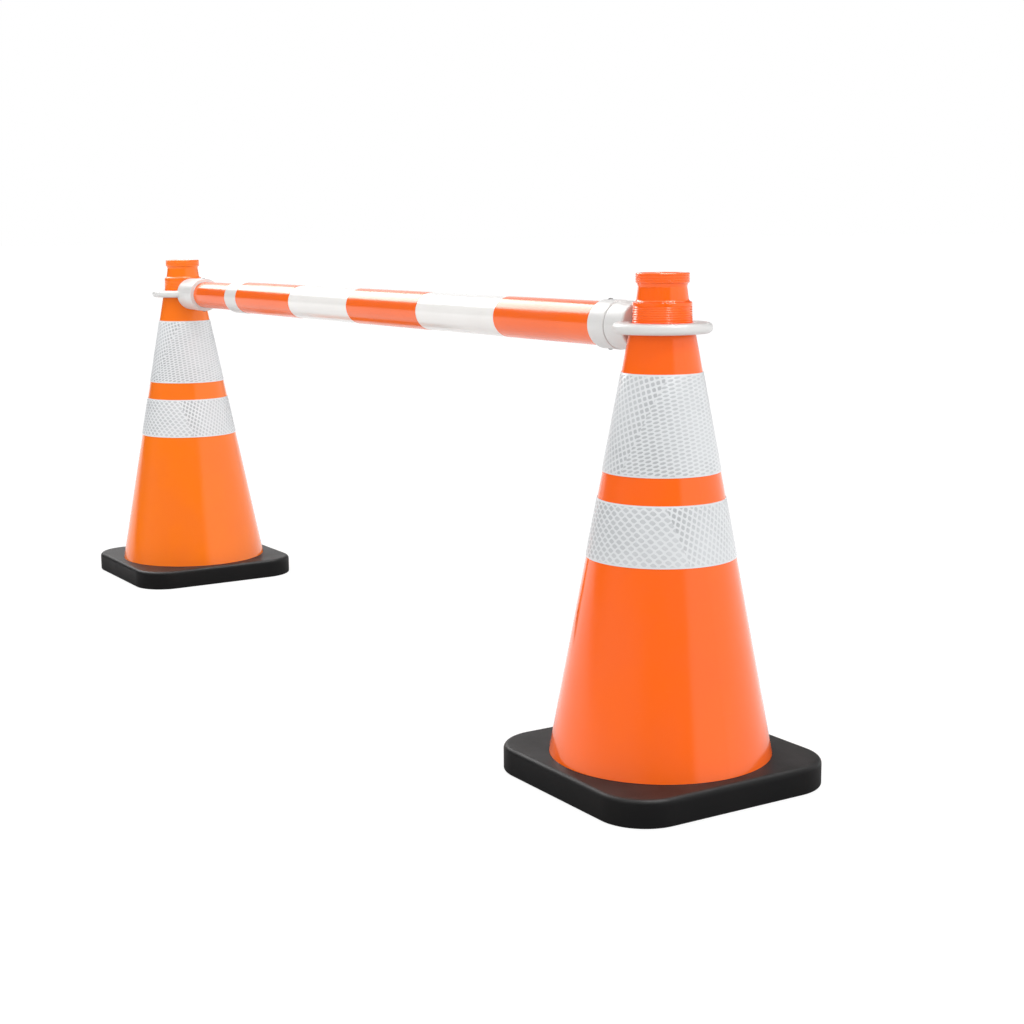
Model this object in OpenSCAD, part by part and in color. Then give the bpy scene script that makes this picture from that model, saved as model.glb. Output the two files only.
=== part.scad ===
// Road barrier: a telescopic striped bar that hangs by a ring from the neck of each of two traffic cones.
// Millimetres. The origin is on the floor, midway between the cones. +X runs along the bar, +Z is up.

/* [Barrier] */
// Length of the inner tube that shows between the outer tube's mouth and the left end
inner_show = 185.4; // [5:0.1:780]
// Depth of the bar's axis below the top of a cone
bar_drop = 75; // [73:1:110]

/* [Cone shell] */
// Height of a cone from the floor
cone_h = 715; // [650:1:900]
// Outer radius of the shell where the neck begins
shoulder_r = 43.4; // [42:0.1:48]
// Wall of the shell
wall = 3.5; // [2.5:0.1:4.5]
// Height of the neck, from the shoulder to the top
neck_h = 68; // [64:0.5:72]
// Depth of the neck's ledge below the top
ledge_drop = 39.5; // [36:0.5:42]
// Outer radius of the neck just below the ledge
ledge_r = 40.8; // [40:0.1:42]
// Outer radius of the neck just above the ledge
neck_foot_r = 36; // [35:0.1:37]
// Outer radius of the neck at its narrowest, under the rim
neck_r = 33.8; // [33:0.1:35]
// Outer radius of the rim
rim_r = 37.3; // [36:0.1:39]
// Height of the rim
rim_h = 14; // [10:0.5:16]
// Number of fine grooves round the rim
rim_groove_count = 3; // [0:1:3]
// Radius of a groove round the rim
rim_groove_r = 0.6; // [0.3:0.1:0.9]
// Radius of the open mouth
mouth_r = 29.5; // [26:0.1:30.5]
// Depth of the straight mouth
mouth_l = 44; // [36:1:48]
// Number of grip ribs round the neck
rib_count = 7; // [3:1:9]
// Depth of the groove between two grip ribs
rib_depth = 0.7; // [0.3:0.1:1]
// Height of the plain band between the ribs and the ledge
rib_margin = 6; // [3:0.5:9]

/* [Cone base] */
// Side of the square base
base_w = 364; // [300:1:450]
// Bare width of the base beside the shell, at the middle of a side
base_margin = 23; // [20:0.5:45]
// Thickness of the base
base_t = 39.2; // [28:0.1:45]
// Radius of the base's corners in plan
base_corner_r = 70; // [40:1:80]
// Radius of the base's top edge
base_top_round = 8; // [3:0.5:10]
// Radius of the base's bottom edge
base_foot_round = 4; // [1:0.5:6]
// Width of the flange under the shell, which lifts the base
flange_w = 6; // [3:0.5:8]
// Thickness of that flange
flange_t = 4; // [3:0.5:6]

/* [Reflective sleeves] */
// Depth of the upper sleeve's top edge below the top of the cone
sleeve_drop = 135.3; // [120:0.1:160]
// Height of the upper sleeve
upper_sleeve_h = 137.3; // [100:0.1:152]
// Height of the bare shell between the sleeves
sleeve_gap = 36.9; // [20:0.1:60]
// Height of the lower sleeve
lower_sleeve_h = 83; // [70:0.1:102]
// Thickness of a sleeve
sleeve_t = 0.7; // [0.4:0.1:1.2]

/* [Bar tubes] */
// Diameter of the outer tube
outer_d = 63.5; // [62.5:0.1:64.5]
// Wall of the outer tube
outer_wall = 1.8; // [1.2:0.1:2.2]
// Length of the outer tube
outer_l = 1372; // [1000:1:1420]
// Diameter of the inner tube
inner_d = 55.9; // [54:0.1:56.4]
// Wall of the inner tube
inner_wall = 1.8; // [1.2:0.1:2.5]
// Length of the inner tube
inner_l = 1197; // [1120:1:1250]
// Length of bare tube between two stripes
stripe_gap = 252.5; // [150:0.5:280]
// Thickness of a stripe
stripe_t = 0.25; // [0.1:0.05:0.35]

/* [Bar ends] */
// Distance from the cone's axis to the flat face of an end cap's head
head_reach = 48; // [46:0.5:56]
// Length of the head
head_l = 45.3; // [35:0.1:60]
// Diameter of the head
head_d = 69.2; // [66.5:0.1:70]
// Diameter of the collar round the tube's end
collar_d = 70.8; // [70.2:0.1:74]
// Length of that collar
collar_l = 38.4; // [30:0.1:48]
// Length of the spigot inside the tube
spigot_l = 52; // [50:1:80]
// Wall of the spigot
spigot_wall = 4; // [3:0.1:6]
// Outer diameter of the ring that sits on the cone
ring_d = 139; // [125:0.5:160]
// Height of the ring
ring_h = 15; // [11:0.5:18]

/* [Bar mouth] */
// Diameter of the collar at the outer tube's mouth
mouth_collar_d = 65.4; // [64.9:0.1:68]
// Length of the outer tube that the mouth collar grips
mouth_grip = 41; // [25:1:60]
// Length of the lip that closes the mouth collar
mouth_lip_l = 8; // [4:0.5:12]
// Length of the friction ring behind the lip
friction_l = 9; // [5:0.5:14]
// Length of a bush on the inner tube
bush_l = 25; // [15:1:40]
// Clear length between the two bushes
bush_spacing = 104.5; // [60:0.5:130]

/* [Screws] */
// Diameter of a screw's shank
screw_d = 4; // [3:0.1:5]
// Diameter of a screw's head
screw_head_d = 7; // [6:0.1:9]
// Height of a screw's head
screw_head_h = 2.2; // [1.5:0.1:3]
// Distance from the collar's open edge to the screws
screw_inset = 9; // [7:0.5:15]

/* [Hidden] */
$fn = 96;
// Overrun of every cut
cut = 1;
// Gap between pieces that are fixed together
fit_gap = 0.05;
// Gap between pieces that slide, turn or are slipped on each other
run_gap = 0.3;
// Height of the shell's flange above the floor
foot_gap = 1;
// Set-back of the grip ribs from the shell's slope
rib_recess = 1.4;
// Radii of the small edges
rim_round = 2;
ledge_round = 1;
neck_fillet = 4.5;
head_round = 3;
collar_round = 1.2;
mouth_round = 1.5;
// Height of the flare that carries the neck out to the rim
neck_flare = 5;
// Height of the slope that widens the hollow below the mouth
throat_drop = 4;
// Chamfer that leads the ring over a cone
ring_lead = 2;
// Depth of the flat that seats a screw's head, and the play round the head
spot_depth = 0.7;
spot_play = 0.4;
// Length of a screw that stands out inside the spigot
screw_tail = 1.5;
// Bare tube left between the end collar and the first stripe
stripe_margin = 1.5;
stripe_count = 3;

// Outer radius of the shell where it leaves the base
cone_foot_r = base_w / 2 - base_margin;
shoulder_z = cone_h - neck_h;
ledge_z = cone_h - ledge_drop;
rim_z = cone_h - rim_h;
mouth_foot_z = cone_h - mouth_l;
bar_z = cone_h - bar_drop;
cone_taper = (cone_foot_r - shoulder_r) / (shoulder_z - base_t);
wall_across = wall * sqrt(1 + cone_taper * cone_taper);
flange_top_z = foot_gap + flange_t;
rib_pitch = (ledge_z - rib_margin - shoulder_z) / rib_count;

upper_sleeve_top_z = cone_h - sleeve_drop;
lower_sleeve_top_z = upper_sleeve_top_z - upper_sleeve_h - sleeve_gap;

outer_r = outer_d / 2;
outer_bore_r = outer_r - outer_wall;
inner_r = inner_d / 2;
inner_bore_r = inner_r - inner_wall;
head_r = head_d / 2;
collar_r = collar_d / 2;
ring_r = ring_d / 2;
mouth_collar_r = mouth_collar_d / 2;
screw_r = screw_d / 2;
screw_head_r = screw_head_d / 2;

// Places along the bar, as distances from the axis of the cone at that end
tube_start = head_reach + head_l;
collar_edge = tube_start + collar_l;
screw_place = collar_edge - screw_inset;
outer_end = tube_start + outer_l;
mouth_start = outer_end - mouth_grip;
mouth_end = outer_end + run_gap + friction_l + run_gap + mouth_lip_l;
inner_end = tube_start + inner_l;
// Distance between the two cone axes
span = mouth_end + inner_show + collar_edge;
guide_place = inner_end - bush_l;
stop_place = guide_place - bush_spacing - bush_l;
stripe_start = collar_edge + stripe_margin;
stripe_l = (mouth_start - fit_gap - stripe_start - (stripe_count - 1) * stripe_gap) / stripe_count;
stripe_pitch = stripe_l + stripe_gap;

// What slides through the mouth clears the striped inner tube
slide_r = inner_r + fit_gap + stripe_t + run_gap;
bush_r = outer_bore_r - run_gap;

// Outer radius of the shell's slope at height z
function cone_r(z) = cone_foot_r - cone_taper * (z - base_t);

// Outer radius of the ribbed band at height z, tapering up to the ledge
function band_r(z) =
    let (foot_r = shoulder_r - rib_recess)
    foot_r + (ledge_r - foot_r) * (z - shoulder_z) / (ledge_z - shoulder_z);

// A rectangle with rounded corners, from its lowest to its highest corner
module rounded_rect(low, high, r) {
    size = high - low;
    translate(low + [r, 0]) square([size[0] - 2 * r, size[1]]);
    translate(low + [0, r]) square([size[0], size[1] - 2 * r]);
    for (x = [low[0] + r, high[0] - r], y = [low[1] + r, high[1] - r])
        translate([x, y]) circle(r);
}

// A ring round the local Z axis
module tube(r, bore_r, start, end) {
    translate([0, 0, start]) difference() {
        cylinder(r = r, h = end - start);
        translate([0, 0, -cut]) cylinder(r = bore_r, h = end - start + 2 * cut);
    }
}

// Places that both ends share: a cone with the bar leaving it
module at_right() {
    translate([span / 2, 0, 0]) children();
}

module at_left() {
    translate([-span / 2, 0, 0]) rotate([0, 0, 180]) children();
}

// Turns the local Z axis along the bar, away from the cone
module along_bar() {
    translate([0, 0, bar_z]) rotate([0, -90, 0]) children();
}

// Puts a child over and under the bar where the end screws are, with its Z axis pointing out
module at_screws() {
    for (turn = [0, 180])
        translate([-screw_place, 0, bar_z]) rotate([turn, 0, 0]) children();
}

module screw_holes(r) {
    at_screws() cylinder(r = r, h = collar_r + cut);
}

// The space that a cone takes from an end cap, with the clearance of a loose seat
module cone_space() {
    low_z = bar_z - head_r - cut;
    high_z = bar_z + head_r + cut;
    translate([0, 0, low_z])
        cylinder(r1 = cone_r(low_z) + run_gap, r2 = cone_r(high_z) + run_gap, h = high_z - low_z);
}

// Half section of the shell: flange, slope, ribbed neck, ledge, throat and hollow
module shell_wall() {
    rib_points = [for (i = [0 : rib_count - 1], half = [0, 0.5])
        let (z = shoulder_z + (i + half) * rib_pitch)
        [band_r(z) - (half == 0 ? rib_depth : 0), z]];
    outside = concat(
        [
            [cone_r(flange_top_z) + flange_w, foot_gap],
            [cone_r(flange_top_z) + flange_w, flange_top_z],
            [cone_r(flange_top_z), flange_top_z],
            [shoulder_r, shoulder_z]
        ],
        rib_points,
        [
            [band_r(ledge_z - rib_margin) - rib_depth, ledge_z - rib_margin],
            [band_r(ledge_z - rib_margin), ledge_z - rib_margin + rib_depth],
            [ledge_r, ledge_z - ledge_round],
            [ledge_r - ledge_round, ledge_z],
            [neck_foot_r, ledge_z],
            [neck_foot_r, ledge_z + neck_fillet],
            [neck_r, rim_z - neck_flare],
            [rim_r - rim_round, rim_z],
            [rim_r - rim_round, rim_z + rim_h / 2]
        ]
    );
    throat_z = shoulder_z - throat_drop;
    inside = [
        [mouth_r, rim_z + rim_h / 2],
        [mouth_r, mouth_foot_z],
        [cone_r(throat_z) - wall_across, throat_z],
        [cone_r(foot_gap) - wall_across, foot_gap]
    ];
    polygon(concat(outside, inside));
    difference() {
        rounded_rect([mouth_r, rim_z], [rim_r, cone_h], rim_round);
        for (i = [1 : 1 : rim_groove_count])
            translate([rim_r, rim_z + i * rim_h / (rim_groove_count + 1)]) circle(rim_groove_r);
    }
    difference() {
        translate([neck_foot_r, ledge_z]) square(neck_fillet);
        translate([neck_foot_r + neck_fillet, ledge_z + neck_fillet]) circle(neck_fillet);
    }
}

module cone_shell() {
    color("orangered") rotate_extrude() shell_wall();
}

// Edge of the base from a corner's centre outwards, rounded at the top and bottom
module base_edge() {
    square([base_corner_r - base_top_round, base_t]);
    square([base_corner_r - base_foot_round, base_t - base_top_round]);
    translate([0, base_foot_round])
        square([base_corner_r, base_t - base_top_round - base_foot_round]);
    translate([base_corner_r - base_top_round, base_t - base_top_round]) circle(base_top_round);
    translate([base_corner_r - base_foot_round, base_foot_round]) circle(base_foot_round);
}

module base_slab() {
    corner = base_w / 2 - base_corner_r;
    translate([-corner, -corner, 0]) cube([2 * corner, 2 * corner, base_t]);
    for (side = [0 : 3]) rotate([0, 0, 90 * side]) {
        translate([corner, corner, 0]) rotate_extrude(angle = 90) base_edge();
        translate([corner, corner, 0]) rotate([90, 0, 0]) linear_extrude(2 * corner) base_edge();
    }
}

// The base is a separate slab that drops over the shell and lies on its flange
module cone_base() {
    flange_r = cone_r(flange_top_z) + flange_w + run_gap;
    seat_z = flange_top_z + run_gap;
    color([0.1, 0.1, 0.1]) difference() {
        base_slab();
        translate([0, 0, -cut]) cylinder(r = flange_r, h = seat_z + cut);
        cylinder(r1 = cone_r(0) + run_gap, r2 = cone_r(base_t + cut) + run_gap, h = base_t + cut);
    }
}

// A reflective sleeve that follows the shell's slope
module sleeve(top_z, height) {
    foot_z = top_z - height;
    color("whitesmoke") rotate_extrude() polygon([
        [cone_r(foot_z) + run_gap, foot_z],
        [cone_r(foot_z) + run_gap + sleeve_t, foot_z],
        [cone_r(top_z) + run_gap + sleeve_t, top_z],
        [cone_r(top_z) + run_gap, top_z]
    ]);
}

module upper_sleeve() {
    sleeve(upper_sleeve_top_z, upper_sleeve_h);
}

module lower_sleeve() {
    sleeve(lower_sleeve_top_z, lower_sleeve_h);
}

// A tube of the bar with its screw holes, from the end cap to its free end
module bar_tube(r, bore_r, end) {
    color("white") difference() {
        along_bar() tube(r, bore_r, tube_start + fit_gap, end);
        screw_holes(screw_r + fit_gap);
    }
}

module outer_tube() {
    at_right() bar_tube(outer_r, outer_bore_r, outer_end);
}

module inner_tube() {
    at_left() bar_tube(inner_r, inner_bore_r, inner_end);
}

// One stripe of a tube, counted from the end cap
module stripe(r, index) {
    start = stripe_start + index * stripe_pitch;
    color("orange") along_bar() tube(r + fit_gap + stripe_t, r + fit_gap, start, start + stripe_l);
}

// The collar that clamps a tube on its end cap, with a flat under each screw head
module end_collar(tube_r) {
    color("gainsboro") difference() {
        along_bar() rotate_extrude() difference() {
            rounded_rect([0, tube_start + fit_gap], [collar_r, collar_edge], collar_round);
            square([tube_r + fit_gap, collar_edge + cut]);
        }
        screw_holes(screw_r + fit_gap);
        at_screws() translate([0, 0, collar_r - spot_depth])
            cylinder(r = screw_head_r + spot_play, h = spot_depth + cut);
    }
}

// Half section of the ring with a full round rim and a lead at both ends of its bore
module ring_section() {
    round_r = ring_h / 2;
    difference() {
        union() {
            translate([0, -round_r]) square([ring_r - round_r, ring_h]);
            translate([ring_r - round_r, 0]) circle(round_r);
        }
        for (way = [-1, 1]) {
            bore_r = cone_r(bar_z + way * round_r) + run_gap;
            polygon([
                [0, way * round_r],
                [bore_r + ring_lead, way * round_r],
                [bore_r, way * (round_r - ring_lead)],
                [0, way * (round_r - ring_lead)]
            ]);
        }
    }
}

// An end cap: the ring on the cone, the round head and a hollow spigot in the tube
module ring_cap(tube_bore_r) {
    spigot_r = tube_bore_r - fit_gap;
    color("gainsboro") difference() {
        union() {
            translate([0, 0, bar_z]) rotate_extrude() ring_section();
            along_bar() rotate_extrude() {
                difference() {
                    rounded_rect([-head_r, head_reach], [head_r, tube_start], head_round);
                    translate([-head_r - cut, head_reach - cut])
                        square([head_r + cut, head_l + 2 * cut]);
                }
                translate([0, tube_start - head_round])
                    square([spigot_r, spigot_l + head_round]);
            }
        }
        cone_space();
        along_bar() translate([0, 0, tube_start])
            cylinder(r = spigot_r - spigot_wall, h = spigot_l + cut);
        screw_holes(screw_r + fit_gap);
    }
}

// The two screws that hold a collar, a tube and a spigot together
module end_screws(tube_bore_r) {
    tip = tube_bore_r - fit_gap - spigot_wall - screw_tail;
    seat = collar_r - spot_depth;
    dome_r = (screw_head_r * screw_head_r + screw_head_h * screw_head_h) / (2 * screw_head_h);
    color("dimgray") at_screws() {
        translate([0, 0, tip]) cylinder(r = screw_r, h = seat - tip + cut);
        translate([0, 0, seat + fit_gap]) rotate_extrude() intersection() {
            translate([0, screw_head_h - dome_r]) circle(dome_r);
            square([screw_head_r, screw_head_h]);
        }
    }
}

// The collar over the outer tube's mouth, with a lip round the inner tube
module mouth_collar() {
    color("white") at_right() along_bar() rotate_extrude() difference() {
        rounded_rect([0, mouth_start], [mouth_collar_r, mouth_end], mouth_round);
        translate([0, mouth_start - cut])
            square([outer_r + fit_gap, mouth_end - mouth_lip_l - mouth_start + cut]);
        square([slide_r, mouth_end + cut]);
    }
}

// The soft ring that grips the inner tube, trapped between the outer tube and the lip
module friction_ring() {
    start = outer_end + run_gap;
    color([0.15, 0.15, 0.15]) at_right() along_bar()
        tube(outer_r, slide_r, start, start + friction_l);
}

// A bush on the inner tube, which runs in the outer tube
module bush(place) {
    color("gray") at_left() along_bar() tube(bush_r, inner_r + fit_gap, place, place + bush_l);
}

at_right() cone_base();  // right_cone_base
at_right() cone_shell();  // right_cone_shell
at_right() upper_sleeve();  // right_upper_sleeve
at_right() lower_sleeve();  // right_lower_sleeve
at_left() cone_base();  // left_cone_base
at_left() cone_shell();  // left_cone_shell
at_left() upper_sleeve();  // left_upper_sleeve
at_left() lower_sleeve();  // left_lower_sleeve
outer_tube();
at_right() stripe(outer_r, 0);  // outer_stripe_1
at_right() stripe(outer_r, 1);  // outer_stripe_2
at_right() stripe(outer_r, 2);  // outer_stripe_3
inner_tube();
at_left() stripe(inner_r, 0);  // inner_stripe_1
at_left() stripe(inner_r, 1);  // inner_stripe_2
at_right() end_collar(outer_r);  // right_end_collar
at_right() ring_cap(outer_bore_r);  // right_ring_cap
at_right() end_screws(outer_bore_r);  // right_end_screws
at_left() end_collar(inner_r);  // left_end_collar
at_left() ring_cap(inner_bore_r);  // left_ring_cap
at_left() end_screws(inner_bore_r);  // left_end_screws
mouth_collar();
friction_ring();
bush(stop_place);  // stop_bush
bush(guide_place);  // guide_bush
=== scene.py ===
"""Looks of the cone bar: two traffic cones and the telescopic striped bar that hangs between their necks.

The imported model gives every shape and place. This script gives the looks: moulded, drawn and film finishes on
the model's own pieces, reflective sleeves with raised prism cells, cross-recessed screws, and the studio.
"""

import logging
import math
from dataclasses import dataclass
from enum import Enum
from functools import cache
from typing import Any, NamedTuple, Sequence

import bmesh
import bpy
from mathutils import Matrix, Vector


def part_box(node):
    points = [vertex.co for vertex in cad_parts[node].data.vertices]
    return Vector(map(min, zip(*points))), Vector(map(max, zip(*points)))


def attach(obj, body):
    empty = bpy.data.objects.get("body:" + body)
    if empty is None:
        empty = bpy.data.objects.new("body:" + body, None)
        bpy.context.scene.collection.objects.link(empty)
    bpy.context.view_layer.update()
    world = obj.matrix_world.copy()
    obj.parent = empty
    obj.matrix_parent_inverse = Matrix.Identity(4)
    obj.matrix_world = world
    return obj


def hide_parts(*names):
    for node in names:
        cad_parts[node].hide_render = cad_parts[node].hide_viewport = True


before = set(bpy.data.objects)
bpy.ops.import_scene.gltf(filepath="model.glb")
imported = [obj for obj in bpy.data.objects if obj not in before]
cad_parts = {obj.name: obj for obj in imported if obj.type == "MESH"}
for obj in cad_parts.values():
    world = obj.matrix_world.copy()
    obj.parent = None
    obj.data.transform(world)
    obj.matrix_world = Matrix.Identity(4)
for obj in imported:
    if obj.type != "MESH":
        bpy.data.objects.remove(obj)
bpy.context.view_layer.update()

MM = 0.001
WHITE = (1.0, 1.0, 1.0)
EVEN = (1.0, 1.0, 1.0)
UP = (0.0, 0.0, 1.0)
DOWN = Vector((0.0, 0.0, -1.0))
# Sockets of a colour mix, by number because its kinds share their names.
MIX_INPUTS = (0, 6, 7)
MIX_RESULT = 2
LOG = logging.getLogger("cone_bar")

Colour = tuple[float, float, float]
Way = tuple[float, float, float]
Flat = tuple[float, float]
Band = tuple[float, float]
Feeds = dict[str | int, Any]
Socket = bpy.types.NodeSocket
Tree = bpy.types.NodeTree
Piece = bpy.types.Object
Material = bpy.types.Material


class Side(Enum):
    """End of the bar, by the name that the model's nodes start with."""

    RIGHT = "right"
    LEFT = "left"


class CellShape(Enum):
    """Outline of a prism cell: power that turns a circle's coordinates into an oval or a rounded diamond."""

    LENS = 1.1
    DIAMOND = 1.5


@dataclass
class Graph:
    """A node tree with short calls to add nodes and to feed their sockets.

    Attributes:
        tree: shader or geometry tree that the calls add to
    """

    tree: Tree

    def feed(self, socket: Socket, value: Any) -> None:
        """Links a socket to another one, or sets its value.

        Args:
            socket: input that is fed
            value: output socket to link, or plain value; a colour may leave out its alpha
        """
        if isinstance(value, Socket):
            self.tree.links.new(value, socket)
        elif socket.type == "RGBA" and len(value) == 3:
            socket.default_value = (*value, 1.0)
        else:
            socket.default_value = value

    def add(self, kind: str, feeds: Feeds | None = None, **settings: Any) -> bpy.types.Node:
        """Adds a node.

        Args:
            kind: Blender's type name of the node
            feeds: what goes into its inputs, by name or number
            **settings: properties that are set before the inputs are fed

        Returns:
            The new node.
        """
        node = self.tree.nodes.new(kind)
        for name, value in settings.items():
            setattr(node, name, value)
        for key, value in (feeds or {}).items():
            self.feed(node.inputs[key], value)
        return node

    def out(self, kind: str, feeds: Feeds | None = None, **settings: Any) -> Socket:
        """Adds a node as add does and returns its first output."""
        return self.add(kind, feeds, **settings).outputs[0]

    def math(self, operation: str, *values: Any) -> Socket:
        """Adds a sum on numbers and returns its output."""
        return self.out("ShaderNodeMath", dict(enumerate(values)), operation=operation)

    def vector(self, operation: str, *values: Any) -> Socket:
        """Adds a sum on vectors and returns its vector output."""
        return self.out("ShaderNodeVectorMath", dict(enumerate(values)), operation=operation)

    def measure(self, operation: str, *values: Any) -> Socket:
        """Adds a sum on vectors that gives a number and returns its output."""
        node = self.add("ShaderNodeVectorMath", dict(enumerate(values)), operation=operation)
        return node.outputs["Value"]

    def parts(self, vector: Any) -> bpy.types.NodeOutputs:
        """Adds a split of a vector and returns its three outputs."""
        return self.add("ShaderNodeSeparateXYZ", {0: vector}).outputs

    def mix(self, share: Any, first: Any, second: Any) -> Socket:
        """Adds a blend of two colours and returns its colour output."""
        feeds = dict(zip(MIX_INPUTS, (share, first, second)))
        return self.add("ShaderNodeMix", feeds, data_type="RGBA").outputs[MIX_RESULT]

    def ramp(self, value: Any, band: Band, start: Any = 0.0, end: Any = 1.0) -> Socket:
        """Adds a smooth step of a value.

        Args:
            value: what is stepped
            band: values where the step starts and ends
            start: result at and below the band
            end: result at and above it

        Returns:
            The stepped output.
        """
        feeds = {"Value": value, "From Min": band[0], "From Max": band[1], "To Min": start, "To Max": end}
        return self.out("ShaderNodeMapRange", feeds, interpolation_type="SMOOTHSTEP")

    def noise(self, place: Any, scale: Any, detail: float = 2.0) -> Socket:
        """Adds a cloud pattern and returns its value."""
        return self.out("ShaderNodeTexNoise", {"Vector": place, "Scale": scale, "Detail": detail})

    def group(self, tree: Tree, **values: Any) -> bpy.types.NodeOutputs:
        """Places a shared shader group and returns its outputs."""
        return self.add("ShaderNodeGroup", values, node_tree=tree).outputs

    def join(self, *parts: Socket) -> Socket:
        """Adds a join of meshes.

        Args:
            *parts: meshes, in their order

        Returns:
            The joined mesh.
        """
        node = self.add("GeometryNodeJoinGeometry")
        for part in parts:
            self.feed(node.inputs[0], part)
        return node.outputs[0]

    def by_ray(self, matt: Any, gloss: Any, camera: Any) -> Socket:
        """Adds a choice of level by the kind of ray.

        Args:
            matt: level for light on matt surfaces
            gloss: level that gloss shows
            camera: level that the camera sees

        Returns:
            The chosen level.
        """
        ray = self.add("ShaderNodeLightPath").outputs
        seen = self.math("MAXIMUM", ray["Is Camera Ray"], ray["Is Transmission Ray"])
        level = matt
        for share, other in ((ray["Is Glossy Ray"], gloss), (seen, camera)):
            level = self.math("MULTIPLY_ADD", share, self.math("SUBTRACT", other, level), level)
        return level


def bare_graph(owner: Any) -> Graph:
    """Empties a node tree.

    Args:
        owner: material or world that the tree belongs to

    Returns:
        The bare tree's graph.
    """
    owner.use_nodes = True
    owner.node_tree.nodes.clear()
    return Graph(owner.node_tree)


def group_graph(name: str, kind: str, takes: dict[str, str], gives: dict[str, str]) -> tuple[Graph, Any, Any]:
    """Starts a node group with named sockets.

    Args:
        name: group's name
        kind: Blender's tree type
        takes: socket type of each input, by name
        gives: socket type of each output, by name

    Returns:
        The graph, the outputs of its input node and the inputs of its output node.
    """
    tree = bpy.data.node_groups.new(name, kind)
    for way, sockets in (("INPUT", takes), ("OUTPUT", gives)):
        for label, socket_type in sockets.items():
            tree.interface.new_socket(name=label, in_out=way, socket_type=f"NodeSocket{socket_type}")
    graph = Graph(tree)
    return graph, graph.add("NodeGroupInput").outputs, graph.add("NodeGroupOutput").inputs


# Patterns of the shared groups: bands of noise that a pattern steps in, its detail, stretch and density.
CLOUD_BAND = (0.3, 0.7)
CLOUD_DETAIL = 4.0
WANDER_BAND = (0.2, 0.8)
HAIR_BAND = (0.62, 0.70)
HAIR_DETAIL = 5.0
HAIR_STRETCH = (1.0, 1.0, 14.0)
SPOT_BAND = (0.48, 0.66)
SPOT_DENSITY = 0.35
PATCH_BAND = (0.25, 0.75)
PATCH_DETAIL = 6.0
PATCH_LEAST = 0.35
# The upward band reaches down over rounded edges, so that the base's dust also paints a highlight on its top
# edge.
UPWARD_BAND = (0.15, 0.9)


@cache
def surface_grain() -> Tree:
    """Builds the shared group for the skin of every piece.

    Returns:
        Group with a bump height, a roughness between two limits and a slow colour mottle.
    """
    graph, takes, gives = group_graph(
        "surface_grain", "ShaderNodeTree",
        {"Stretch": "Vector", "Fineness": "Float", "Clouds": "Float", "Smooth": "Float", "Dull": "Float"},
        {"Height": "Float", "Roughness": "Float", "Mottle": "Float"},
    )
    place = graph.add("ShaderNodeTexCoord").outputs["Object"]
    drawn = graph.vector("MULTIPLY", place, takes["Stretch"])
    fine = graph.noise(drawn, takes["Fineness"])
    clouds = graph.noise(place, takes["Clouds"], CLOUD_DETAIL)
    mottle = graph.ramp(clouds, CLOUD_BAND)
    wander = graph.math("MULTIPLY", graph.math("ADD", mottle, fine), 0.5)
    graph.feed(gives["Height"], fine)
    graph.feed(gives["Roughness"], graph.ramp(wander, WANDER_BAND, takes["Smooth"], takes["Dull"]))
    graph.feed(gives["Mottle"], mottle)
    return graph.tree


@cache
def handling_marks() -> Tree:
    """Builds the shared group for the rubbed spots and hairlines that use leaves.

    Returns:
        Group with a mask that is one inside a mark.
    """
    graph, takes, gives = group_graph(
        "handling_marks", "ShaderNodeTree", {"Amount": "Float", "Spacing": "Float"}, {"Mask": "Float"})
    place = graph.add("ShaderNodeTexCoord").outputs["Object"]
    often = graph.math("DIVIDE", 1.0, takes["Spacing"])
    hair = graph.noise(graph.vector("MULTIPLY", place, HAIR_STRETCH), often, HAIR_DETAIL)
    spot = graph.noise(place, graph.math("MULTIPLY", often, SPOT_DENSITY))
    both = graph.math("MULTIPLY", graph.ramp(hair, HAIR_BAND), graph.ramp(spot, SPOT_BAND))
    graph.feed(gives["Mask"], graph.math("MULTIPLY", both, takes["Amount"]))
    return graph.tree


@cache
def settled_dust_and_sheen() -> Tree:
    """Builds the shared group for dust on faces that look up; on the black base it is also painted sheen on the
    top face and a painted highlight on its rounded top edge.

    Returns:
        Group with a mask that is one where the dust and painted sheen lie thickest.
    """
    graph, takes, gives = group_graph(
        "settled_dust_and_sheen", "ShaderNodeTree", {"Amount": "Float", "Patches": "Float"}, {"Mask": "Float"})
    upward = graph.parts(graph.add("ShaderNodeNewGeometry").outputs["Normal"])["Z"]
    place = graph.add("ShaderNodeTexCoord").outputs["Object"]
    patches = graph.ramp(graph.noise(place, takes["Patches"], PATCH_DETAIL), PATCH_BAND, PATCH_LEAST)
    lying = graph.math("MULTIPLY", graph.ramp(upward, UPWARD_BAND), patches)
    graph.feed(gives["Mask"], graph.math("MULTIPLY", lying, takes["Amount"]))
    return graph.tree


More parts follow.
